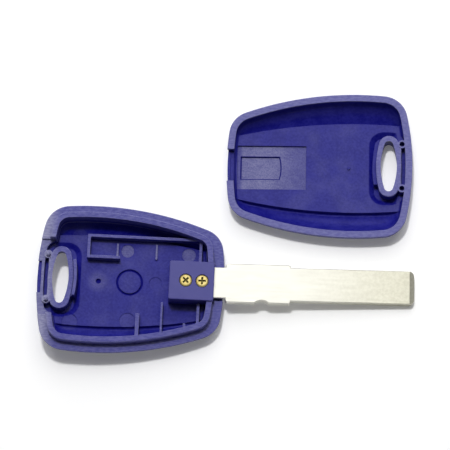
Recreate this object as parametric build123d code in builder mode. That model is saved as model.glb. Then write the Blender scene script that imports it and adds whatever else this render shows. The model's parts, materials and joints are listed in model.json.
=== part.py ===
from build123d import *
import os
from math import asin, atan2, cos, hypot, radians, sin, sqrt, tan

# A key shell taken apart: the base half with the blade clamped in it, and the cover half beside it.
# Millimetres. Each half has its own plane at its parting face: its neck end is at the origin there,
# the key ring end is towards minus X, and the inside of the half looks up.

# Head outline
head_length = 43.9
head_width = 35.2
widest_at = 30.3
side_radius = 75.0
neck_radius = 63.0
ring_end_radius = 59.5
neck_corner = 5.8
ring_corner = 6.0

# Depth, draft and edges of the two halves
base_depth = 3.9
cover_depth = 4.2
wall_draft = 8.0
outer_round = 3.0
land_edge = 0.15
rim_width = 1.65

# Lip of the base, which enters the rim of the cover
lip_clearance = 0.35
lip_width = 1.35
lip_height = 2.2
lip_neck_setback = 0.45
lip_bevel = 0.15
lip_gap = 18.1

# Cavities and their drafted walls
cavity_draft = 1.0
base_trough_round = 2.1
cover_trough_round = 2.8

# Raised middle of each floor, between two deeper troughs along the sides
raised_half_width = 10.9
raised_radius = 125.0
floor_slope = 18.0
base_floor = 2.3
base_trough = 3.1
cover_floor = 2.25
cover_trough = 3.3

# Sunken middle of the outside, under the raised floor
sunk_inset = 1.1
sunk_land = 1.2
sunk_corner = 2.0
base_sunk = 0.7
cover_sunk = 0.6

# Key ring opening, its collar and the well that the collar stands in, all placed from the ring end
ring_hole_setback = 5.6
ring_hole_length = 12.3
ring_hole_width = 3.8
ring_hole_end = 1.05
ring_hole_edge = 0.5
base_hole_flare = 0.5
cover_hole_flare = 0.1
collar_wall = 1.1
collar_end_wall = 1.3
collar_bevel = 0.12
well_setback = 1.7
well_length = 8.55
well_width = 17.9
well_corner = 3.4
well_wall = 3.1
well_side_run = 1.25
slot_depth = 2.2
slot_setback = 2.7
ridge_width = 0.65
ridge_length = 8.5
ridge_sagitta = 0.35
ridge_gap = 0.2
ridge_height = 0.9
ledge_depth = 1.05
flank_drop = 0.4

# Locating pins of the base and their sockets in the cover
pin_setback = 2.5
pin_spread = 10.8
pin_diameter = 1.05
pin_height = 1.0
pin_bevel = 0.3
boss_diameter = 1.95
socket_clearance = 0.08
socket_depth = 1.8

# Lowered end wall of the base, and the opening notch in its outer half
end_drop = 0.5
pry_width = 7.6
pry_depth = 0.7
pry_reach = 1.05

# Blade
blade_top = 1.4
blade_thickness = 2.2
blade_width = 7.9
blade_reach = 44.3
blade_turn = 1.15
shoulder_gap = 0.25
shoulder_width = 9.2
shoulder_length = 15.2
shoulder_round = 0.55
notch_at = 8.5
notch_mouth = 3.3
notch_depth = 0.65
tip_corner = 1.2
tip_bevel_length = 1.1
tip_bevel_depth = 0.45
blade_edge = 0.12
tang_width = 7.3
tang_length = 12.0

# Clamp block over the tang
clamp_start = 2.4
clamp_length = 10.5
clamp_width = 9.25
clamp_top = 2.7
clamp_corner = 0.5
clamp_edge = 0.2
clamp_pinch = 0.05
clamp_clearance = 0.12
tang_side_clearance = 0.12
neck_clearance = 0.25

# Screws through block and tang into the base
first_screw_at = 5.2
screw_pitch = 3.82
screw_head_diameter = 2.86
screw_head_height = 0.8
screw_head_bevel = 0.3
screw_head_sink = 0.6
screw_shank = 1.6
screw_length = 4.6
screw_point = 0.25
screw_hole_clearance = 0.2
pilot_clearance = 0.02
cross_length = 1.75
cross_width = 0.45
cross_depth = 0.55
cross_taper = 12.0
cross_turns = (0.0, 45.0)

# Cover recesses over the clamp block and the screw heads
pad_start = 2.5
pad_length = 16.3
pad_width = 10.7
pad_depth = 0.5
head_recess_start = 3.35
head_recess_length = 9.1
head_recess_width = 5.5
head_recess_depth = 0.4
head_recess_bulge = 0.4
sill_step = 0.25
sill_step_at = 0.9

# Ribs of the base floor, with their tops level with the parting face
rib_top = 0.0
rib_thickness = 0.65
chip_bay_gap = 1.25
chip_bay_far = 10.72
chip_bay_width = 4.37
chip_bay_length = 7.7
cross_rib_at = 5.85
stop_rib_setback = 7.05
stop_rib_height = 0.7
stop_rib_length = 3.4
stop_rib_thickness = 0.45
guide_rib_at = 16.2
guide_rib_height = 0.5
guide_rib_length = 3.6
broad_rib_at = 19.87
broad_rib_thickness = 0.85
broad_rib_start = 7.85
thin_rib_at = 14.3
thin_rib_thickness = 0.45
thin_rib_start = 4.9
stub_rib_at = 8.93
stub_rib_length = 1.3
stub_rib_thickness = 0.5

# Round marks on the floors, the small ones as distance from the neck, side place and radius
disc_at = 22.18
disc_radius = 3.15
disc_groove_width = 0.5
disc_groove_depth = 0.35
gate_at = 29.5
gate_radius = 0.6
gate_depth = 0.45
cover_gate_at = 28.85
cover_gate_radius = 0.4
cover_gate_height = 0.25
ejector_depth = 0.12
ejector_marks = (
    (8.6, 7.2, 1.6),
    (16.1, 0.0, 1.5),
    (23.0, 7.5, 1.5),
    (22.25, -9.2, 1.85),
    (35.7, -10.1, 1.85),
    (34.4, 10.7, 1.85),
)

# How the two halves lie
half_spacing = 29.05
cover_shift = 0.8
cover_turn = 1.2

# The base lies on the rounded lower edge of its neck end and on the tip of the blade
blade_bottom = blade_top - blade_thickness
draft_slope = radians(wall_draft)
edge_centre_x = -((base_depth - outer_round) * tan(draft_slope) + outer_round / cos(draft_slope))
edge_centre_z = outer_round - base_depth
tip_contact_x = blade_reach - tip_bevel_length
tip_distance = hypot(tip_contact_x - edge_centre_x, blade_bottom - edge_centre_z)
pitch = atan2(blade_bottom - edge_centre_z, tip_contact_x - edge_centre_x) + asin(outer_round / tip_distance)
neck_height = edge_centre_x * sin(pitch) - edge_centre_z * cos(pitch) + outer_round
neck_x = (head_length - blade_reach) / 2 * cos(pitch)
cover_rise = head_length / 2 * sin(radians(cover_turn))

base_frame = Plane(
    origin=(neck_x, -(half_spacing + cover_rise) / 2, neck_height),
    x_dir=(cos(pitch), 0, -sin(pitch)),
    z_dir=(sin(pitch), 0, cos(pitch)),
)
cover_frame = Plane(
    origin=(neck_x - cover_shift, (half_spacing - cover_rise) / 2, cover_depth),
    x_dir=(-cos(radians(cover_turn)), -sin(radians(cover_turn)), 0),
    z_dir=(0, 0, 1),
)

ring_end_x = -head_length
ring_hole_at = head_length - ring_hole_setback
well_end = head_length - well_setback
well_start = well_end - well_length
slot_start = head_length - slot_setback
pin_at = head_length - pin_setback
chip_bay_end = well_start - chip_bay_gap
stop_rib_at = chip_bay_end - stop_rib_setback
lip_outer = rim_width + lip_clearance
lip_inner = lip_outer + lip_width
collar_length = ring_hole_length + 2 * collar_end_wall
collar_width = ring_hole_width + 2 * collar_wall
collar_end = ring_hole_end + collar_end_wall
ridge_centre_x = -ring_hole_at + collar_width / 2 + ridge_gap + ridge_width / 2
clamp_back = clamp_start + clamp_length
clamp_side = clamp_width / 2
neck_side = tang_width / 2 + neck_clearance
screw_places = (-first_screw_at, -first_screw_at - screw_pitch)
blade_pivot = -first_screw_at - screw_pitch / 2
chip_bay_near = chip_bay_far - rib_thickness - chip_bay_width
far_wall = (chip_bay_far - rib_thickness, chip_bay_far)
near_wall = (chip_bay_near - rib_thickness, chip_bay_near)

# The blade stands a little crooked in its clamp, turned about the middle between the screws
pivot = base_frame.from_local_coords(Vector(blade_pivot, 0, 0))
blade_x_dir = base_frame.x_dir * cos(radians(blade_turn)) + base_frame.y_dir * sin(radians(blade_turn))
blade_frame = Plane(origin=pivot - blade_x_dir * blade_pivot, x_dir=blade_x_dir, z_dir=base_frame.z_dir)


def crossing(centre_a, radius_a, centre_b, radius_b):
    """The upper crossing point of two circles."""
    gap = Vector(*centre_b) - Vector(*centre_a)
    along = (gap.length**2 + radius_a**2 - radius_b**2) / (2 * gap.length)
    across = sqrt(radius_a**2 - along**2)
    ahead = gap.normalized()
    aside = Vector(-ahead.Y, ahead.X)
    foot = Vector(*centre_a) + ahead * along
    point = max(foot + aside * across, foot - aside * across, key=lambda candidate: candidate.Y)
    return point.X, point.Y


def head_outline(inset=0.0, neck_inset=0.0):
    """Outline of the head, four large arcs with round corners, drawn in from the edge by an inset."""
    side_centre = (-widest_at, head_width / 2 - side_radius)
    side_arc = side_radius - inset
    neck_x_at, neck_y = crossing(side_centre, side_arc, (-neck_radius, 0), neck_radius - inset - neck_inset)
    ring_x, ring_y = crossing(side_centre, side_arc, (ring_end_radius - head_length, 0), ring_end_radius - inset)
    half_width = head_width / 2 - inset
    with BuildSketch(Plane.XY, mode=Mode.PRIVATE) as outline:
        with BuildLine():
            ThreePointArc((neck_x_at, -neck_y), (-inset - neck_inset, 0), (neck_x_at, neck_y))
            ThreePointArc((neck_x_at, neck_y), (-widest_at, half_width), (ring_x, ring_y))
            ThreePointArc((ring_x, ring_y), (ring_end_x + inset, 0), (ring_x, -ring_y))
            ThreePointArc((ring_x, -ring_y), (-widest_at, -half_width), (neck_x_at, -neck_y))
        make_face()
        fillet(outline.vertices().group_by(Axis.X)[-1], neck_corner - inset)
        fillet(outline.vertices().group_by(Axis.X)[0], ring_corner - inset)
    return outline.sketch


def side_at(x, inset):
    """Half width of the head at x, drawn in by an inset."""
    return head_width / 2 - side_radius + sqrt((side_radius - inset) ** 2 - (x + widest_at) ** 2)


def middle_band(half_width):
    """The middle of the head between two flat side arcs."""
    with BuildSketch(Plane.XY, mode=Mode.PRIVATE) as band:
        add(head_outline())
        for side in (1, -1):
            with Locations((-widest_at, side * (half_width - raised_radius))):
                Circle(raised_radius, mode=Mode.INTERSECT)
    return band.sketch


def sunk_outline(inset):
    """The sunken middle of the outside, which stops short of the neck end and of the ring opening."""
    with BuildSketch(Plane.XY, mode=Mode.PRIVATE) as outline:
        add(middle_band(raised_half_width - sunk_inset - inset))
        neck_limit = -outer_round - sunk_land - inset
        ring_limit = collar_wall + inset - well_start
        add(rectangle((ring_limit, neck_limit), (-head_width / 2, head_width / 2)), mode=Mode.INTERSECT)
        fillet(outline.vertices(), sunk_corner - inset)
    return outline.sketch


def oval(width, length, end_radius):
    """An oval about the middle of the key ring opening: two long arcs with round ends."""
    end_centre = length / 2 - end_radius
    side_arc = (width**2 / 4 + end_centre**2 - end_radius**2) / (width - 2 * end_radius)
    reach = side_arc - end_radius
    touch_x = width / 2 - side_arc + side_arc * (side_arc - width / 2) / reach
    touch_y = side_arc * end_centre / reach
    with BuildSketch(Plane.XY, mode=Mode.PRIVATE) as outline:
        with BuildLine(Plane.XY.offset(0).shift_origin((-ring_hole_at, 0, 0))):
            ThreePointArc((touch_x, -touch_y), (width / 2, 0), (touch_x, touch_y))
            ThreePointArc((touch_x, touch_y), (0, length / 2), (-touch_x, touch_y))
            ThreePointArc((-touch_x, touch_y), (-width / 2, 0), (-touch_x, -touch_y))
            ThreePointArc((-touch_x, -touch_y), (0, -length / 2), (touch_x, -touch_y))
        make_face()
    return outline.sketch


def hole_outline(margin=0.0):
    """Outline of the key ring opening, grown by a margin."""
    return oval(ring_hole_width + 2 * margin, ring_hole_length + 2 * margin, ring_hole_end + margin)


def tapered(frame, z_span, profiles, mode=Mode.ADD):
    """A drafted form between two profiles at two heights of a frame."""
    with BuildSketch(frame.offset(z_span[0])) as first:
        add(profiles[0])
    with BuildSketch(frame.offset(z_span[1])) as second:
        add(profiles[1])
    loft([first.sketch, second.sketch], ruled=True, mode=mode)


def straight(frame, z_span, profile, mode=Mode.ADD):
    """A straight form between two heights of a frame."""
    with BuildSketch(frame.offset(z_span[0])) as footprint:
        add(profile)
    extrude(footprint.sketch, amount=z_span[1] - z_span[0], mode=mode)


def rectangle(x_span, y_span):
    """A rectangle between two values along each direction."""
    with BuildSketch(Plane.XY, mode=Mode.PRIVATE) as outline:
        with Locations(((x_span[0] + x_span[1]) / 2, (y_span[0] + y_span[1]) / 2)):
            Rectangle(x_span[1] - x_span[0], y_span[1] - y_span[0])
    return outline.sketch


def span(middle, width):
    """Two values, a width apart, about a middle."""
    return (middle - width / 2, middle + width / 2)


def circle(x, y, radius):
    """A circle about a point."""
    with BuildSketch(Plane.XY, mode=Mode.PRIVATE) as outline:
        with Locations((x, y)):
            Circle(radius)
    return outline.sketch


def outer_body(half, frame, depth, sunk):
    """Solid head with drafted walls, a large round below them and a sunken middle outside."""
    widest = head_outline(land_edge * tan(draft_slope))
    tapered(frame, (-land_edge, -depth), (widest, head_outline(depth * tan(draft_slope))))
    fillet(half.faces().sort_by(Axis((0, 0, 0), frame.z_dir))[0].edges(), outer_round)
    tapered(frame, (-land_edge, 0), (widest, head_outline(land_edge)))
    narrowing = sunk * tan(radians(floor_slope))
    tapered(frame, (-depth, sunk - depth), (sunk_outline(0), sunk_outline(narrowing)), Mode.SUBTRACT)


def cavity(room, frame, insets, top, trough, floor, rounding):
    """The room inside a half: two troughs along the sides and a shallower middle over the raised floor."""
    inset, neck_inset = insets
    shrink = (top + trough) * tan(radians(cavity_draft))
    tapered(frame, (top, -trough), (head_outline(inset, neck_inset), head_outline(inset + shrink, neck_inset)))
    fillet(room.faces().sort_by(Axis((0, 0, 0), frame.z_dir))[0].edges(), rounding)
    run_out = (trough - floor) * tan(radians(floor_slope))
    foot = middle_band(raised_half_width + run_out)
    tapered(frame, (-trough, -floor), (foot, middle_band(raised_half_width)), Mode.SUBTRACT)


def well_outline(wall, inset=0.0):
    """Outline of the well around the collar, which keeps a wall to the outside."""
    with BuildSketch(Plane.XY, mode=Mode.PRIVATE) as outline:
        with Locations((-(well_start + well_end) / 2, 0)):
            RectangleRounded(well_end - well_start - 2 * inset, well_width - 2 * inset, well_corner - inset)
        add(head_outline(wall + inset), mode=Mode.INTERSECT)
    return outline.sketch


def ring_well(frame, floor, trough):
    """The well around the collar: a slot along the end wall, and sloping sides down from the raised floor."""
    straight(frame, (0, -floor), well_outline(rim_width), Mode.SUBTRACT)
    slot = rectangle((-well_end, -slot_start), (-well_width / 2, well_width / 2))
    with BuildSketch(Plane.XY, mode=Mode.PRIVATE) as slot_foot:
        add(well_outline(rim_width))
        add(slot, mode=Mode.INTERSECT)
    straight(frame, (0, -slot_depth), slot_foot.sketch, Mode.SUBTRACT)
    tapered(frame, (-floor, -trough), (well_outline(well_wall), well_outline(well_wall, well_side_run)), Mode.SUBTRACT)


def collar(frame, trough):
    """The collar round the key ring opening, joined to the bosses beside it."""
    edge = oval(collar_width, collar_length, collar_end)
    top = oval(collar_width - 2 * collar_bevel, collar_length - 2 * collar_bevel, collar_end - collar_bevel)
    straight(frame, (-trough, -collar_bevel), edge)
    tapered(frame, (-collar_bevel, 0), (edge, top))
    bridge = rectangle((-slot_start, -ring_hole_at), (-pin_spread / 2, pin_spread / 2))
    straight(frame, (-trough, -collar_bevel), bridge)
    for side in (1, -1):
        straight(frame, (-trough, 0), circle(-pin_at, side * pin_spread / 2, boss_diameter / 2))


def ring_hole(frame, depth, flare):
    """The opening through the collar and the outer wall, which flares outwards to a broken outer edge."""
    wide = hole_outline(flare)
    tapered(frame, (-depth, 0), (wide, hole_outline()), Mode.SUBTRACT)
    tapered(frame, (-depth, ring_hole_edge - depth), (hole_outline(flare + ring_hole_edge), wide), Mode.SUBTRACT)


def ridge_strip(width):
    """Footprint of a curved strip beside the collar, on its blade side."""
    with BuildSketch(Plane.XY, mode=Mode.PRIVATE) as strip:
        with BuildLine():
            ThreePointArc(
                (ridge_centre_x - ridge_sagitta, -ridge_length / 2),
                (ridge_centre_x, 0),
                (ridge_centre_x - ridge_sagitta, ridge_length / 2),
            )
        trace(line_width=width)
    return strip.sketch


def flank():
    """Footprint of the fill between the collar and the strip beside it."""
    return rectangle((-ring_hole_at, ridge_centre_x - ridge_sagitta), (-ridge_length / 2, ridge_length / 2))


def side_plane(frame, x):
    """The upright plane along the blade, with its origin at x on a frame's own axis."""
    return Plane(
        origin=frame.from_local_coords(Vector(x, 0, 0)),
        x_dir=frame.x_dir,
        z_dir=-frame.y_dir,
    )


def cross(x, length, width, turn):
    """A plain cross about a screw's axis."""
    with BuildSketch(Plane.XY, mode=Mode.PRIVATE) as outline:
        with Locations((x, 0)):
            Rectangle(length, width, rotation=turn)
            Rectangle(width, length, rotation=turn)
    return outline.sketch


def screw(x, turn):
    """One low-headed screw with a cross recess, standing on the axis at x."""
    seat = clamp_top - screw_head_sink
    crown = seat + screw_head_height
    tip = seat - screw_length
    shank_radius = screw_shank / 2
    head_radius = screw_head_diameter / 2
    with BuildSketch(side_plane(base_frame, x)) as profile:
        with BuildLine():
            Polyline(
                (0, tip),
                (shank_radius - screw_point, tip),
                (shank_radius, tip + 2 * screw_point),
                (shank_radius, seat),
                (head_radius, seat),
                (head_radius, crown - screw_head_bevel),
                (head_radius - screw_head_bevel, crown),
                (0, crown),
                close=True,
            )
        make_face()
    revolve(profile.sketch, axis=Axis(side_plane(base_frame, x).origin, base_frame.z_dir))
    narrowing = 2 * cross_depth * tan(radians(cross_taper))
    mouth = cross(x, cross_length, cross_width, turn)
    bottom = cross(x, cross_length - narrowing, cross_width - narrowing, turn)
    tapered(base_frame, (crown, crown - cross_depth), (mouth, bottom), Mode.SUBTRACT)


with BuildPart() as base_cavity:
    cavity(
        base_cavity,
        base_frame,
        (lip_inner, lip_neck_setback),
        lip_height,
        base_trough,
        base_floor,
        base_trough_round,
    )

with BuildPart() as cover_cavity:
    cavity(cover_cavity, cover_frame, (rim_width, 0), 0, cover_trough, cover_floor, cover_trough_round)

with BuildPart() as base_shell:
    outer_body(base_shell, base_frame, base_depth, base_sunk)
    lip_edge = lip_height - lip_bevel
    straight(base_frame, (0, lip_edge), head_outline(lip_outer, lip_neck_setback))
    lip_profiles = (
        head_outline(lip_outer, lip_neck_setback),
        head_outline(lip_outer + lip_bevel, lip_neck_setback),
    )
    tapered(base_frame, (lip_edge, lip_height), lip_profiles)
    add(base_cavity.part, mode=Mode.SUBTRACT)

    # Ring end: the lip stops at a lowered end wall, which has the opening notch in its outer half
    lip_opening = rectangle((ring_end_x, -well_start), (-lip_gap / 2, lip_gap / 2))
    straight(base_frame, (-end_drop, lip_height), lip_opening, Mode.SUBTRACT)
    pry_notch = rectangle((ring_end_x, ring_end_x + pry_reach), (-pry_width / 2, pry_width / 2))
    straight(base_frame, (-end_drop - pry_depth, 0), pry_notch, Mode.SUBTRACT)

    # Ring end: well, collar with its ridge, bosses and pins
    ring_well(base_frame, base_floor, base_trough)
    collar(base_frame, base_trough)
    straight(base_frame, (-base_trough, -flank_drop), flank())
    straight(base_frame, (-base_trough, ridge_height), ridge_strip(ridge_width))
    for side in (1, -1):
        pin_y = side * pin_spread / 2
        pin_edge = circle(-pin_at, pin_y, pin_diameter / 2)
        pin_crown = circle(-pin_at, pin_y, pin_diameter / 2 - pin_bevel)
        straight(base_frame, (0, pin_height - pin_bevel), pin_edge)
        tapered(base_frame, (pin_height - pin_bevel, pin_height), (pin_edge, pin_crown))
    ring_hole(base_frame, base_depth, base_hole_flare)

    # Bay for the transponder: three tall walls, and a low stop across it
    bay_back = (-chip_bay_end, rib_thickness - chip_bay_end)
    straight(base_frame, (-base_floor, rib_top), rectangle(bay_back, (near_wall[0], far_wall[1])))
    straight(base_frame, (-base_floor, rib_top), rectangle((-chip_bay_end, -cross_rib_at), far_wall))
    bay_near = rectangle((-chip_bay_end, chip_bay_length - chip_bay_end), near_wall)
    straight(base_frame, (-base_floor, rib_top), bay_near)
    stop_rib = rectangle(span(-stop_rib_at, stop_rib_thickness), (near_wall[0], chip_bay_near + stop_rib_length))
    straight(base_frame, (-base_floor, stop_rib_height - base_floor), stop_rib)
    guide_rib = rectangle(span(-guide_rib_at, stop_rib_thickness), (chip_bay_near, chip_bay_near + guide_rib_length))
    straight(base_frame, (-base_floor, guide_rib_height - base_floor), guide_rib)

    # Ribs from the walls towards the clamp block
    rib_line = span(-cross_rib_at, rib_thickness)
    straight(base_frame, (-base_trough, rib_top), rectangle(rib_line, (clamp_side, far_wall[1])))
    for rib_at, thickness, rib_start in (
        (cross_rib_at, rib_thickness, clamp_side),
        (broad_rib_at, broad_rib_thickness, broad_rib_start),
        (thin_rib_at, thin_rib_thickness, thin_rib_start),
        (stub_rib_at, stub_rib_thickness, side_at(-stub_rib_at, lip_inner) - stub_rib_length),
    ):
        into_wall = side_at(-rib_at, lip_outer)
        straight(base_frame, (-base_trough, rib_top), rectangle(span(-rib_at, thickness), (-into_wall, -rib_start)))

    # Seat for tang and clamp block, with the way out through the neck end
    clamp_seat = rectangle((-clamp_back, -clamp_start), (-clamp_side, clamp_side))
    straight(base_frame, (-base_floor, blade_bottom), clamp_seat)
    pocket_side = clamp_side + clamp_clearance
    pocket = rectangle((-clamp_back, clamp_clearance - clamp_start), (-pocket_side, pocket_side))
    straight(base_frame, (blade_bottom, lip_height), pocket, Mode.SUBTRACT)
    neck_notch = rectangle((-clamp_start - neck_clearance, neck_clearance), (-neck_side, neck_side))
    straight(base_frame, (blade_bottom, lip_height), neck_notch, Mode.SUBTRACT)
    pilot_bottom = clamp_top - screw_head_sink - screw_length - clamp_clearance
    for place in screw_places:
        pilot = circle(place, 0, screw_shank / 2 + pilot_clearance)
        straight(base_frame, (blade_bottom, pilot_bottom), pilot, Mode.SUBTRACT)

    # Round marks on the raised floor
    with BuildSketch(Plane.XY, mode=Mode.PRIVATE) as groove:
        with Locations((-disc_at, 0)):
            Circle(disc_radius)
            Circle(disc_radius - disc_groove_width, mode=Mode.SUBTRACT)
    straight(base_frame, (-base_floor, -base_floor - disc_groove_depth), groove.sketch, Mode.SUBTRACT)
    gate_mark = circle(-gate_at, 0, gate_radius)
    straight(base_frame, (-base_floor, -base_floor - gate_depth), gate_mark, Mode.SUBTRACT)
    for mark_at, mark_side, mark_radius in ejector_marks:
        mark = circle(-mark_at, mark_side, mark_radius)
        straight(base_frame, (-base_floor, -base_floor - ejector_depth), mark, Mode.SUBTRACT)

with BuildPart() as cover_shell:
    outer_body(cover_shell, cover_frame, cover_depth, cover_sunk)
    add(cover_cavity.part, mode=Mode.SUBTRACT)

    # Ring end: well, collar with a ledge for the ridge, bosses with sockets
    ring_well(cover_frame, cover_floor, cover_trough)
    collar(cover_frame, cover_trough)
    straight(cover_frame, (-cover_trough, -ledge_depth), flank())
    straight(cover_frame, (-cover_trough, -ledge_depth), ridge_strip(ridge_width))
    for side in (1, -1):
        socket = circle(-pin_at, side * pin_spread / 2, pin_diameter / 2 + socket_clearance)
        straight(cover_frame, (0, -socket_depth), socket, Mode.SUBTRACT)
    ring_hole(cover_frame, cover_depth, cover_hole_flare)

    # Recesses over the clamp block and its screw heads, and the gate mark
    pad = rectangle((-pad_start - pad_length, -pad_start), (-pad_width / 2, pad_width / 2))
    straight(cover_frame, (-cover_floor - pad_depth, -cover_floor), pad, Mode.SUBTRACT)
    recess_neck_end = -head_recess_start
    recess_ring_end = -head_recess_start - head_recess_length
    recess_side = head_recess_width / 2
    with BuildSketch(Plane.XY, mode=Mode.PRIVATE) as head_recess:
        with BuildLine():
            Line((recess_ring_end, recess_side), (recess_neck_end, recess_side))
            Line((recess_neck_end, recess_side), (recess_neck_end, -recess_side))
            Line((recess_neck_end, -recess_side), (recess_ring_end, -recess_side))
            ThreePointArc(
                (recess_ring_end, -recess_side),
                (recess_ring_end - head_recess_bulge, 0),
                (recess_ring_end, recess_side),
            )
        make_face()
    recess_floor = -cover_floor - pad_depth
    straight(cover_frame, (recess_floor - head_recess_depth, recess_floor), head_recess.sketch, Mode.SUBTRACT)
    gate_nub = circle(-cover_gate_at, 0, cover_gate_radius)
    straight(cover_frame, (-cover_floor, cover_gate_height - cover_floor), gate_nub)

    # Notch for the blade in the neck end, with a stepped sill
    sill = -blade_top - clamp_clearance
    inner_end = -rim_width - clamp_clearance
    sill_notch = rectangle((inner_end, neck_clearance), (-neck_side, neck_side))
    straight(cover_frame, (sill, 0), sill_notch, Mode.SUBTRACT)
    inner_sill = rectangle((inner_end, -sill_step_at), (-neck_side, neck_side))
    straight(cover_frame, (sill - sill_step, sill), inner_sill, Mode.SUBTRACT)

with BuildPart() as key_blade:
    shoulder_end = shoulder_gap + shoulder_length
    with BuildSketch(blade_frame.offset(blade_bottom)) as blade_outline:
        add(rectangle((shoulder_gap, shoulder_end), (-shoulder_width / 2, shoulder_width / 2)))
        fillet(blade_outline.vertices(), shoulder_round)
        add(rectangle((shoulder_gap, blade_reach), (-blade_width / 2, blade_width / 2)))
        fillet(blade_outline.vertices().group_by(Axis.X)[-1], tip_corner)
        add(rectangle((-tang_length, shoulder_gap + shoulder_round), (-tang_width / 2, tang_width / 2)))
        notch_radius = (notch_mouth**2 / 4 + notch_depth**2) / (2 * notch_depth)
        with Locations((shoulder_gap + notch_at, notch_depth - shoulder_width / 2 - notch_radius)):
            Circle(notch_radius, mode=Mode.SUBTRACT)
    extrude(amount=blade_thickness)
    blade_faces = key_blade.faces().sort_by(Axis((0, 0, 0), blade_frame.z_dir))
    chamfer(blade_faces[0].edges() + blade_faces[-1].edges(), blade_edge)
    with BuildSketch(side_plane(blade_frame, 0)) as tip_bevels:
        for face_z, inner_z in (
            (blade_top, blade_top - tip_bevel_depth),
            (blade_bottom, blade_bottom + tip_bevel_depth),
        ):
            with BuildLine():
                Polyline(
                    (blade_reach - tip_bevel_length, face_z),
                    (blade_reach, face_z),
                    (blade_reach, inner_z),
                    close=True,
                )
            make_face()
    extrude(amount=blade_width, both=True, mode=Mode.SUBTRACT)
    for place in screw_places:
        passage = circle(place, 0, screw_shank / 2 + screw_hole_clearance)
        straight(base_frame, (blade_bottom, blade_top), passage, Mode.SUBTRACT)

with BuildPart() as blade_clamp:
    with BuildSketch(base_frame.offset(blade_bottom + clamp_pinch)):
        with Locations((-clamp_start - clamp_length / 2, 0)):
            RectangleRounded(clamp_length, clamp_width, clamp_corner)
    extrude(amount=clamp_top - blade_bottom - clamp_pinch)
    fillet(blade_clamp.faces().sort_by(Axis((0, 0, 0), base_frame.z_dir))[-1].edges(), clamp_edge)
    channel_side = tang_width / 2 + tang_side_clearance
    channel = rectangle((-tang_length - clamp_clearance, 0), (-channel_side, channel_side))
    straight(base_frame, (blade_bottom, blade_top), channel, Mode.SUBTRACT)
    for place in screw_places:
        passage = circle(place, 0, screw_shank / 2 + screw_hole_clearance)
        straight(base_frame, (blade_top, clamp_top), passage, Mode.SUBTRACT)
        counterbore = circle(place, 0, screw_head_diameter / 2 + clamp_clearance)
        straight(base_frame, (clamp_top - screw_head_sink, clamp_top), counterbore, Mode.SUBTRACT)

with BuildPart() as clamp_screws:
    for place, turn in zip(screw_places, cross_turns):
        screw(place, turn)

os.makedirs("parts", exist_ok=True)
base_shell.part.label = "base_shell"
export_step(base_shell.part, "parts/base_shell.step")
cover_shell.part.label = "cover_shell"
export_step(cover_shell.part, "parts/cover_shell.step")
key_blade.part.label = "key_blade"
export_step(key_blade.part, "parts/key_blade.step")
blade_clamp.part.label = "blade_clamp"
export_step(blade_clamp.part, "parts/blade_clamp.step")
clamp_screws.part.label = "clamp_screws"
export_step(clamp_screws.part, "parts/clamp_screws.step")
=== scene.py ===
import json
from collections.abc import Callable
from dataclasses import dataclass
from functools import reduce
from math import cos, radians, sin

import bpy
from mathutils import Matrix, Vector


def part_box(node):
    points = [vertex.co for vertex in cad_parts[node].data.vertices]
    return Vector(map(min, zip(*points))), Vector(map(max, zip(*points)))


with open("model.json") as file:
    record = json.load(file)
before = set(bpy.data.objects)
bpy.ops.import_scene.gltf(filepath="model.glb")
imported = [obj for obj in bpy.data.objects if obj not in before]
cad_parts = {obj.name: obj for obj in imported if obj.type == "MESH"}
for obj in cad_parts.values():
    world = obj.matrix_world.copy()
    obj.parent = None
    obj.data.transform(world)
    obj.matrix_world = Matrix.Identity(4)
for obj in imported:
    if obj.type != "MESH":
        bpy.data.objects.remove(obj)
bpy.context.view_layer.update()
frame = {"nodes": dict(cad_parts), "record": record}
nodes = frame["nodes"]
mounts = {mount["name"]: mount for mount in frame["record"]["mounts"]}

# A key shell taken apart: the base half with the blade clamped in it, and the cover half beside it.
# Metres. Each half has a frame of its own, with its origin at the neck end of the head, on the
# parting face, the ring end towards minus X and the floor below. Places on a half are given there.
# Where something fades in, a pair gives where it begins to show and where it shows in full.

# The base lies nose down on the tip of the blade, and its ring opening shows how it leans
RING_OPENING_AT = 0.0383
ring_opening = Vector(mounts["key_ring_opening"]["pos_m"])
lean = Vector(mounts["key_ring_opening"]["axis"]).normalized()
base_pitch = Vector((0, 0, 1)).angle(lean)
base_origin = ring_opening + Vector((lean.z, 0, -lean.x)) * RING_OPENING_AT

# The cover lies flat, turned half round and a little crooked
COVER_TURN = radians(181.2)
COVER_NECK_END = (-0.001, 0.014295)
cover_origin = Vector((*COVER_NECK_END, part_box("cover_shell")[1].z))

# Heights of the rims, of the troughs, and of both raised floors, which lie within a small range
RIM_HEIGHTS = (-0.0009, -0.0002)
TROUGH_HEIGHTS = (-0.0008, -0.0016)
RAISED_FLOOR = -0.00228
RAISED_FLOOR_RANGE = 0.0001

# Raised middle of the floors: where it is widest, its half width there, and the radius of its edges
WIDEST_AT = 0.0303
BAND_HALF_WIDTH = 0.0109
BAND_RADIUS = 0.125

# Distances from the raised middle: the troughs lean inwards, and the step on the near side outwards
TROUGH_EDGE = (0.0, 0.0003)
TROUGH_LEAN = 0.5
STEP_EDGE = (0.0009, 0.00045)
STEP_LEAN = 0.8

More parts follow.
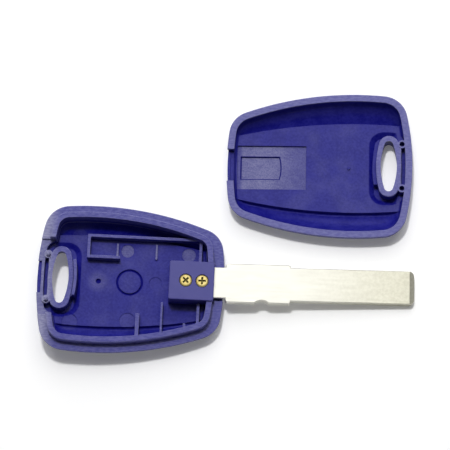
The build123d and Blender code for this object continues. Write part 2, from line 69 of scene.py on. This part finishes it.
# Round marks of the base floor, as place along and across the head, radius and paleness
EJECTOR_MARKS = (
    (-0.0086, 0.0072, 0.0016, 0.55),
    (-0.0161, 0.0, 0.0015, 0.06),
    (-0.023, 0.0075, 0.0015, 0.6),
    (-0.02225, -0.0092, 0.00185, 0.16),
    (-0.0357, -0.0101, 0.00185, 0.12),
    (-0.0344, 0.0107, 0.00185, 0.16),
)
DISC_AT = -0.02218
DISC_RADIUS = 0.0029
DISC_GROOVE_HALF = 0.00026
GATE_AT = -0.0295
GATE_EDGE = (0.0007, 0.0005)
GATE_HALO = (0.0034, 0.0006)
GATE_HALO_PALENESS = 0.4

# Other places on the base: just above its floor, the lowest and highest top of a low rib, and the
# stretch of the ring end that is painted paler
OVER_BASE_FLOOR = -0.00215
LOW_RIB_TOPS = (-0.0019, -0.0015)
RING_END_PALER = (-0.0385, -0.0425)

# Pad sunk in the cover's floor, and how its painted sheen fades towards its ends
UNDER_COVER_FLOOR = -0.0023
PAD_ENDS = (-0.0188, -0.0025)
PAD_HALF = 0.00535
PAD_RING_END = (-0.018, -0.008)
PAD_RING_END_SHEEN = (0.5, 1.15)
PAD_NECK_END = (-0.0042, -0.003)
PAD_NECK_END_SHEEN = (1.0, 0.35)

# Recess of the pad over the screw heads, with a line of painted shade along its edge
RECESS_ENDS = (-0.01245, -0.00335)
RECESS_HALF = 0.00275
RECESS_BULGE = 0.0004
RECESS_LINE_HALF = 0.00014

# Screws: their middle, half their pitch, the reach of a cross recess, a height just below their tops
SCREWS_MIDDLE = -0.00711
SCREWS_HALF_PITCH = 0.00191
CROSS_REACH = 0.00095
UNDER_HEAD_TOPS = 0.00286

# Colours, where a pair gives the two shades that a texture runs between
FLOOR_BLUE = ((0.0, 0.0, 0.17, 1), (0.013, 0.013, 0.225, 1))
# The rims' paler blues are the plastic with a painted sheen, paler on the cover than on the base
BASE_RIM_BLUE_WITH_SHEEN = ((0.042, 0.042, 0.24, 1), (0.086, 0.086, 0.3, 1))
COVER_RIM_BLUE_WITH_SHEEN = ((0.08, 0.08, 0.285, 1), (0.13, 0.13, 0.345, 1))
# Paler blue of the base's rim towards its ring end
RING_END_PALE_BLUE = ((0.17, 0.17, 0.32, 1), (0.27, 0.27, 0.42, 1))
# Pale marks on the floors, and the painted sheen of the low rib tops and of the pad
PALE_MARK_AND_SHEEN_BLUE = ((0.05, 0.05, 0.22, 1), (0.17, 0.17, 0.34, 1))
# Painted highlight on sharp edges
EDGE_HIGHLIGHT_BLUE = (0.26, 0.26, 0.5, 1)
# Painted shade in the disc groove, in the gate's dimple and along the edge of the pad's recess
PAINTED_SHADE_BLUE = (0.0, 0.0, 0.15, 1)
CLAMP_BLUE = ((0.044, 0.043, 0.225, 1), (0.06, 0.058, 0.25, 1))
BRIGHT_STEEL = ((0.74, 0.73, 0.66, 1), (0.80, 0.79, 0.72, 1))
# Darker steel towards the blade's tip, a painted fall-off of its reflection
TIP_SHADED_STEEL = ((0.58, 0.565, 0.455, 1), (0.66, 0.645, 0.535, 1))
BRASS = ((0.78, 0.58, 0.16, 1), (1.0, 0.88, 0.42, 1))
# Painted shade down in the cross recesses of the screws
SHADED_BRASS = (0.22, 0.18, 0.06, 1)
TABLE_WHITE = ((0.93, 0.93, 0.93, 1), (0.95, 0.95, 0.95, 1))
WHITE = (1, 1, 1, 1)

# Finish
FLOOR_ROUGHNESS = 0.5
RIM_ROUGHNESS = 0.4
GROOVE_ROUGHNESS = 0.9
ROUGHNESS_SPREAD = 0.1
CLAMP_ROUGHNESS = 0.38
STEEL_ROUGHNESS = (0.32, 0.4)
BRASS_ROUGHNESS = 0.5
TABLE_ROUGHNESS = 0.6
HAZE_PALENESS = 0.14
# Share of the painted highlight on sharp edges
EDGE_HIGHLIGHT = 0.6
# Where along the blade the painted darkening towards the tip begins and where it is full
BLADE_TIP_SHADE = (0.01, 0.044)

# Radius of the rounded look of sharp edges
SHELL_EDGE = 0.00014
CLAMP_EDGE = 0.00015
BLADE_EDGE = 0.00012
SCREW_EDGE = 0.00008


# Node trees

def add_node(tree, kind, inputs=None, **settings):
    """One shader node, with its settings and with its inputs set or linked."""
    made = tree.nodes.new(kind)
    for name, value in settings.items():
        setattr(made, name, value)
    for name, value in (inputs or {}).items():
        feed(made, name, value)
    return made


def feed(node, name, value):
    """Sets an input of a node, or links it to what another node gives."""
    if isinstance(value, Number):
        value = value.socket
    if isinstance(value, bpy.types.NodeSocket):
        node.id_data.links.new(value, node.inputs[name])
    else:
        node.inputs[name].default_value = value


class Number:
    """A number that a node gives, for use in sums like a plain one. A comparison gives 1 or 0."""

    def __init__(self, socket):
        self.socket = socket
        self.tree = socket.id_data

    def work_out(self, operation, first, second=0.0):
        """The result of one sum in this number's tree."""
        made = add_node(self.tree, "ShaderNodeMath", {0: first, 1: second}, operation=operation)
        return Number(made.outputs[0])

    def __add__(self, other):
        return self.work_out("ADD", self, other)

    def __sub__(self, other):
        return self.work_out("SUBTRACT", self, other)

    def __rsub__(self, other):
        return self.work_out("SUBTRACT", other, self)

    def __mul__(self, other):
        return self.work_out("MULTIPLY", self, other)

    def __truediv__(self, other):
        return self.work_out("DIVIDE", self, other)

    def __lt__(self, other):
        return self.work_out("LESS_THAN", self, other)

    def __gt__(self, other):
        return self.work_out("GREATER_THAN", self, other)

    def __abs__(self):
        return self.work_out("ABSOLUTE", self)


def larger(first, second):
    """The larger of two numbers."""
    return first.work_out("MAXIMUM", first, second)


def root(number):
    """The square root of a number."""
    return number.work_out("SQRT", number)


def sign(number):
    """1 for a positive number and -1 for a negative one."""
    return number.work_out("SIGN", number)


def between(number, low, high):
    """Runs smoothly from 0 at low to 1 at high."""
    inputs = {"Value": number, "From Min": low, "From Max": high}
    made = add_node(number.tree, "ShaderNodeMapRange", inputs, interpolation_type="SMOOTHSTEP")
    return Number(made.outputs["Result"])


def blend(share, first, second):
    """A number between two numbers."""
    made = add_node(share.tree, "ShaderNodeMix", {0: share, 2: first, 3: second}, data_type="FLOAT")
    return Number(made.outputs[0])


def mix(share, first, second):
    """A colour between two colours."""
    made = add_node(share.tree, "ShaderNodeMix", {0: share, 6: first, 7: second}, data_type="RGBA")
    return made.outputs[2]


def axes(place):
    """The three numbers of a place."""
    parts = add_node(place.id_data, "ShaderNodeSeparateXYZ", {"Vector": place}).outputs
    return [Number(parts[axis]) for axis in "XYZ"]


def noise(place, scale, detail, stretch=(1, 1, 1)):
    """Unevenness, finer with a larger scale, and drawn out along an axis where stretch is small."""
    tree = place.id_data
    spread = add_node(tree, "ShaderNodeVectorMath", {0: place, 1: stretch}, operation="MULTIPLY")
    inputs = {"Vector": spread.outputs[0], "Scale": scale, "Detail": detail}
    return Number(add_node(tree, "ShaderNodeTexNoise", inputs).outputs["Fac"])


def rounded(place, radius):
    """The surface direction, turned at sharp edges as if they were rounded."""
    return add_node(place.id_data, "ShaderNodeBevel", {"Radius": radius}, samples=4).outputs[0]


def bumped(direction, height, strength, distance):
    """The surface direction, made uneven by a height."""
    inputs = {"Height": height, "Strength": strength, "Distance": distance, "Normal": direction}
    return add_node(direction.id_data, "ShaderNodeBump", inputs).outputs[0]


def tilted(direction, axis, amount):
    """The surface direction, pushed along an axis by an amount."""
    tree = direction.id_data
    push = add_node(tree, "ShaderNodeVectorMath", {0: axis, "Scale": amount}, operation="SCALE")
    inputs = {0: direction, 1: push.outputs[0]}
    pushed = add_node(tree, "ShaderNodeVectorMath", inputs, operation="ADD")
    unit = add_node(tree, "ShaderNodeVectorMath", {0: pushed.outputs[0]}, operation="NORMALIZE")
    return unit.outputs[0]


def seen_by(tree, *kinds):
    """1 for rays of these kinds, such as those that come from the camera, and 0 for others."""
    rays = add_node(tree, "ShaderNodeLightPath").outputs
    return reduce(larger, [Number(rays[f"Is {kind} Ray"]) for kind in kinds])


def new_material(name):
    """A material, its one plain shader, and the place on the object that its nodes start from."""
    material = bpy.data.materials.new(name)
    material.use_nodes = True
    tree = material.node_tree
    shader = next(made for made in tree.nodes if made.type == "BSDF_PRINCIPLED")
    place = add_node(tree, "ShaderNodeTexCoord").outputs["Object"]
    return material, shader, place


# Distances on a floor

def from_point(x, y, along, across=0.0):
    """Distance from a point of a floor."""
    along = x - along
    across = y - across
    return root(along * along + across * across)


def from_box(x, y, ends, half_width):
    """How far a place lies outside a rectangle of a floor, negative inside it."""
    past_ends = abs(x - sum(ends) / 2) - (ends[1] - ends[0]) / 2
    return larger(past_ends, abs(y) - half_width)


def from_band(x, y):
    """How far a place lies outside the raised middle of a floor, positive over the troughs."""
    along = x + WIDEST_AT
    edge = root(BAND_RADIUS**2 - along * along) + (BAND_HALF_WIDTH - BAND_RADIUS)
    return abs(y) - edge


def line_at(distance, half_width):
    """1 on a line where the distance is nothing, and 0 beside it."""
    return between(abs(distance), half_width * 1.3, half_width * 0.7)


# Marks

def base_pale_marks_and_sheen(x, y, height):
    """The halo round the gate, the ejector marks, and a painted sheen on the tops of the low ribs."""
    pale = between(from_point(x, y, GATE_AT), *GATE_HALO) * GATE_HALO_PALENESS
    for along, across, radius, paleness in EJECTOR_MARKS:
        pale = larger(pale, (from_point(x, y, along, across) < radius) * paleness)
    pale = pale * (height < OVER_BASE_FLOOR)
    return larger(pale, (height > LOW_RIB_TOPS[0]) * (height < LOW_RIB_TOPS[1]))


def base_painted_shade(x, y, height):
    """Painted shade in the groove round the disc and in the gate's dimple."""
    groove = line_at(from_point(x, y, DISC_AT) - DISC_RADIUS, DISC_GROOVE_HALF)
    gate = between(from_point(x, y, GATE_AT), *GATE_EDGE)
    return larger(groove, gate) * (height < OVER_BASE_FLOOR)


def cover_pad_sheen(x, y, height):
    """A painted sheen on the pad, fading towards its ends."""
    ring_end_sheen = blend(between(x, *PAD_RING_END), *PAD_RING_END_SHEEN)
    neck_end_sheen = blend(between(x, *PAD_NECK_END), *PAD_NECK_END_SHEEN)
    on_pad = from_box(x, y, PAD_ENDS, PAD_HALF) < 0
    return on_pad * (ring_end_sheen * neck_end_sheen) * (height < UNDER_COVER_FLOOR)


def cover_painted_shade(x, y, height):
    """Painted shade along the edge of the recess over the screw heads, which bulges towards the ring
    end.
    """
    width = y / RECESS_HALF
    bulge = (1.0 - width * width) * RECESS_BULGE * (x < sum(RECESS_ENDS) / 2)
    edge = line_at(from_box(x + bulge, y, RECESS_ENDS, RECESS_HALF), RECESS_LINE_HALF)
    return edge * (height < UNDER_COVER_FLOOR)


@dataclass
class Half:
    """How one half of the head lies, and how its plastic is marked and painted with sheen and shade.

    The side axis points across the head in the scene, and the near side, 1 or -1 along it, is the one
    that is nearer in the photograph.
    """

    origin: Vector
    turn: tuple[float, float, float]
    side_axis: tuple[float, float, float]
    near_side: int
    pale_marks_and_sheen: Callable
    painted_shade_marks: Callable
    rim_blue_with_sheen: tuple
    ring_end_paleness: float


base = Half(
    origin=base_origin,
    turn=(0, base_pitch, 0),
    side_axis=(0, 1, 0),
    near_side=-1,
    pale_marks_and_sheen=base_pale_marks_and_sheen,
    painted_shade_marks=base_painted_shade,
    rim_blue_with_sheen=BASE_RIM_BLUE_WITH_SHEEN,
    ring_end_paleness=1.0,
)
cover = Half(
    origin=cover_origin,
    turn=(0, 0, COVER_TURN),
    side_axis=(-sin(COVER_TURN), cos(COVER_TURN), 0),
    near_side=1,
    pale_marks_and_sheen=cover_pad_sheen,
    painted_shade_marks=cover_painted_shade,
    rim_blue_with_sheen=COVER_RIM_BLUE_WITH_SHEEN,
    ring_end_paleness=0.0,
)


# Materials

def in_half(place, half):
    """The place in the frame of one half."""
    inputs = {"Vector": place, "Location": half.origin, "Rotation": half.turn}
    return add_node(place.id_data, "ShaderNodeMapping", inputs, vector_type="TEXTURE").outputs[0]


def edge_highlight_share(direction):
    """1 on sharp edges, where a highlight is painted, and 0 on flat faces, from a direction that is
    rounded at the edges.
    """
    tree = direction.id_data
    flat = add_node(tree, "ShaderNodeNewGeometry").outputs["Normal"]
    alike = add_node(tree, "ShaderNodeVectorMath", {0: direction, 1: flat}, operation="DOT_PRODUCT")
    return between(Number(alike.outputs["Value"]), 0.995, 0.93)


def curved_in_troughs(direction, x, y, height, half):
    """The surface direction, curved inwards in the troughs and outwards on the nearer step."""
    beyond = from_band(x, y)
    inwards = between(beyond, *TROUGH_EDGE) * TROUGH_LEAN
    on_step = between(beyond, *STEP_EDGE) * (beyond > 0)
    outwards = on_step * (y * half.near_side > 0) * STEP_LEAN
    amount = (outwards - inwards) * between(height, *TROUGH_HEIGHTS)
    return tilted(direction, half.side_axis, sign(y) * amount)


def haze(local, height):
    """A faint uneven haze on the raised floors."""
    raised = abs(height - RAISED_FLOOR) < RAISED_FLOOR_RANGE
    return between(noise(local, scale=170, detail=3), 0.4, 0.7) * HAZE_PALENESS * raised


def floor_colour(grain, cloud):
    """Deep blue, finely mottled."""
    return mix(between(grain + cloud * 0.6, 0.55, 1.05), *FLOOR_BLUE)


def rim_colour(x, streaks, edges, half):
    """Paler streaky blue, its paleness a painted sheen, paler still towards the ring end, with a
    painted highlight on sharp edges.
    """
    streaky = between(streaks, 0.35, 0.65)
    paler_end = between(x, *RING_END_PALER) * half.ring_end_paleness
    colour = mix(paler_end, mix(streaky, *half.rim_blue_with_sheen), mix(streaky, *RING_END_PALE_BLUE))
    # Painted highlight on sharp edges
    return mix(edge_highlight_share(edges) * EDGE_HIGHLIGHT, colour, EDGE_HIGHLIGHT_BLUE)


def pale_mark_and_sheen_colour(local, streaks, cloud):
    """Blue with pale specks, for pale marks and for painted sheen."""
    speckle = noise(local, scale=3200, detail=5) + (streaks + cloud) * 0.5
    return mix(between(speckle, 0.6, 1.4), *PALE_MARK_AND_SHEEN_BLUE)


def shell_plastic(name, half):
    """The shell's plastic: dull floors, and finely textured faces at the parting plane, made paler by a
    painted sheen.
    """
    material, shader, place = new_material(name)
    local = in_half(place, half)
    x, y, height = axes(local)
    grain = noise(local, scale=1700, detail=4)
    streaks = noise(local, scale=2400, detail=4, stretch=(0.4, 1, 1))
    cloud = noise(local, scale=300, detail=4)
    edges = rounded(local, SHELL_EDGE)
    at_rim = between(height, *RIM_HEIGHTS)
    pale = larger(half.pale_marks_and_sheen(x, y, height), haze(local, height))
    painted_shade = half.painted_shade_marks(x, y, height)
    # The paler rims are a painted sheen
    colour = mix(at_rim, floor_colour(grain, cloud), rim_colour(x, streaks, edges, half))
    # Pale marks, and painted sheen on rib tops and pad
    colour = mix(pale, colour, pale_mark_and_sheen_colour(local, streaks, cloud))
    # Painted shade in the groove, the gate and along the pad recess edge
    feed(shader, "Base Color", mix(painted_shade, colour, PAINTED_SHADE_BLUE))
    roughness = blend(larger(at_rim, pale), FLOOR_ROUGHNESS, RIM_ROUGHNESS)
    roughness = blend(painted_shade, roughness, GROOVE_ROUGHNESS)
    feed(shader, "Roughness", roughness + (cloud - 0.5) * ROUGHNESS_SPREAD)
    curved = curved_in_troughs(edges, x, y, height, half)
    feed(shader, "Normal", bumped(curved, grain, strength=0.6, distance=0.00003))
    return material


def clamp_plastic():
    """The clamp block's plastic, smoother than the shell's."""
    material, shader, place = new_material("clamp_plastic")
    feed(shader, "Base Color", mix(noise(place, scale=400, detail=3), *CLAMP_BLUE))
    feed(shader, "Roughness", CLAMP_ROUGHNESS)
    feed(shader, "Normal", rounded(place, CLAMP_EDGE))
    return material


def blade_steel():
    """Satin nickel-plated steel with a faint grain along the blade, darker towards the tip by a painted
    fall-off of its reflection.
    """
    material, shader, place = new_material("blade_steel")
    along = axes(place)[0]
    grain = noise(place, scale=2500, detail=3, stretch=(0.08, 1, 1))
    bright = mix(noise(place, scale=300, detail=4), *BRIGHT_STEEL)
    tip_shaded = mix(between(noise(place, scale=1500, detail=3), 0.3, 0.7), *TIP_SHADED_STEEL)
    # Painted darkening towards the tip
    feed(shader, "Base Color", mix(between(along, *BLADE_TIP_SHADE), bright, tip_shaded))
    feed(shader, "Metallic", 1.0)
    smooth, rough = STEEL_ROUGHNESS
    inputs = {"Value": grain, "From Min": 0.3, "From Max": 0.7, "To Min": smooth, "To Max": rough}
    roughness = add_node(material.node_tree, "ShaderNodeMapRange", inputs).outputs["Result"]
    feed(shader, "Roughness", roughness)
    edges = rounded(place, BLADE_EDGE)
    feed(shader, "Normal", bumped(edges, grain, strength=0.1, distance=0.00001))
    return material


def screw_brass():
    """Turned brass, with painted shade down in the cross recesses."""
    material, shader, place = new_material("screw_brass")
    x, y, height = axes(in_half(place, base))
    from_axis = from_point(abs(x - SCREWS_MIDDLE), y, SCREWS_HALF_PITCH)
    # Painted shade in the cross recesses
    recess_shade = (from_axis < CROSS_REACH) * (height < UNDER_HEAD_TOPS)
    brass = mix(noise(place, scale=900, detail=3), *BRASS)
    feed(shader, "Base Color", mix(recess_shade, brass, SHADED_BRASS))
    feed(shader, "Metallic", 1.0)
    feed(shader, "Roughness", BRASS_ROUGHNESS)
    feed(shader, "Normal", rounded(place, SCREW_EDGE))
    return material


def dress(node_name, material):
    """Gives a node its material."""
    piece = nodes[node_name]
    piece.data.materials.clear()
    piece.data.materials.append(material)


dress("base_shell", shell_plastic("base_plastic", base))
dress("cover_shell", shell_plastic("cover_plastic", cover))
dress("blade_clamp", clamp_plastic())
dress("key_blade", blade_steel())
dress("clamp_screws", screw_brass())


# Table top

TABLE_HALF = 1.6
TABLE_GLOW = 0.12


def new_object(name, data):
    """An object in the scene."""
    made = bpy.data.objects.new(name, data)
    bpy.context.scene.collection.objects.link(made)
    return made


def table_white():
    """Plain white, with a small glow that shows to the camera and in reflections but lights nothing."""
    material, shader, place = new_material("table_white")
    feed(shader, "Base Color", mix(noise(place, scale=3, detail=2), *TABLE_WHITE))
    feed(shader, "Roughness", TABLE_ROUGHNESS)
    feed(shader, "Emission Color", WHITE)
    seen = seen_by(material.node_tree, "Camera", "Transmission", "Glossy")
    feed(shader, "Emission Strength", seen * TABLE_GLOW)
    return material


def table_top():
    """A plain white table top."""
    mesh = bpy.data.meshes.new("table_top")
    sides = ((-1, -1), (1, -1), (1, 1), (-1, 1))
    corners = [(x * TABLE_HALF, y * TABLE_HALF, 0) for x, y in sides]
    mesh.from_pydata(corners, [], [(0, 1, 2, 3)])
    mesh.materials.append(table_white())
    new_object("table_top", mesh)


table_top()


# Light

LIGHT_DISTANCE = 1.0

# The room: its light from overhead and from low down, and how bright it is in reflections. The top
# of its walls and the depth of its ceiling are parts of a direction with the length 1.
OVERHEAD_LIGHT = 0.03
HORIZON_LIGHT = 0.32
WALLS_MIRRORED = 0.6
CEILING_MIRRORED = (0.06, 0.3)
CEILING_DEPTH = (-0.15, 0.2)
WALL_TOP = (0.65, 0.4)


def area_light(name, azimuth, elevation, size, power, mirrored=True):
    """A round soft light that looks at the object; azimuth 0 is behind it, positive to the right."""
    light = bpy.data.lights.new(name, "AREA")
    light.shape = "DISK"
    light.size = size
    light.energy = power
    lamp = new_object(name, light)
    flat = cos(radians(elevation))
    height = sin(radians(elevation))
    towards = Vector((sin(radians(azimuth)) * flat, cos(radians(azimuth)) * flat, height))
    lamp.location = towards * LIGHT_DISTANCE
    lamp.rotation_mode = "QUATERNION"
    lamp.rotation_quaternion = towards.to_track_quat("Z", "Y")
    lamp.visible_glossy = mirrored


def surroundings():
    """White to the camera, soft light from a room's walls, and a darker ceiling in reflections."""
    world = bpy.data.worlds.new("studio")
    bpy.context.scene.world = world
    world.use_nodes = True
    tree = world.node_tree
    background = next(made for made in tree.nodes if made.type == "BACKGROUND")
    _, depth, height = axes(add_node(tree, "ShaderNodeTexCoord").outputs["Generated"])
    on_wall = between(height, *WALL_TOP)
    ceiling = blend(between(depth, *CEILING_DEPTH), *CEILING_MIRRORED)
    mirrored = blend(on_wall, ceiling, WALLS_MIRRORED)
    ambient = blend(on_wall, OVERHEAD_LIGHT, HORIZON_LIGHT)
    strength = blend(seen_by(tree, "Glossy"), ambient, mirrored)
    feed(background, "Color", WHITE)
    feed(background, "Strength", blend(seen_by(tree, "Camera", "Transmission"), strength, 1.0))


area_light("key_light", azimuth=-11, elevation=72.4, size=0.1, power=5.35, mirrored=False)
area_light("soft_box", azimuth=0, elevation=54, size=1.25, power=6.6)
surroundings()


# Camera

CAMERA_AIM = Vector((-0.000905, 0.000645, 0.0))
CAMERA_DISTANCE = 0.61
CAMERA_AZIMUTH = radians(13.25)
CAMERA_ELEVATION = radians(74.78)
CAMERA_ROLL = radians(11.05)
CAMERA_CLIP_START = 0.01

# Millimetres, as a camera has them
CAMERA_LENS = 206.4
CAMERA_SENSOR = 36


def camera():
    """A long lens above the object, turned to the photograph's angle."""
    made = bpy.data.cameras.new("camera")
    made.lens = CAMERA_LENS
    made.sensor_width = CAMERA_SENSOR
    made.clip_start = CAMERA_CLIP_START
    flat = cos(CAMERA_ELEVATION)
    height = sin(CAMERA_ELEVATION)
    back = Vector((sin(CAMERA_AZIMUTH) * flat, -cos(CAMERA_AZIMUTH) * flat, height))
    level = Vector((cos(CAMERA_AZIMUTH), sin(CAMERA_AZIMUTH), 0))
    upright = back.cross(level)
    right = level * cos(CAMERA_ROLL) - upright * sin(CAMERA_ROLL)
    up = level * sin(CAMERA_ROLL) + upright * cos(CAMERA_ROLL)
    turn = Matrix((right, up, back)).transposed().to_4x4()
    piece = new_object("camera", made)
    piece.matrix_world = Matrix.Translation(CAMERA_AIM + back * CAMERA_DISTANCE) @ turn
    bpy.context.scene.camera = piece


camera()
bpy.context.scene.view_settings.view_transform = "Standard"
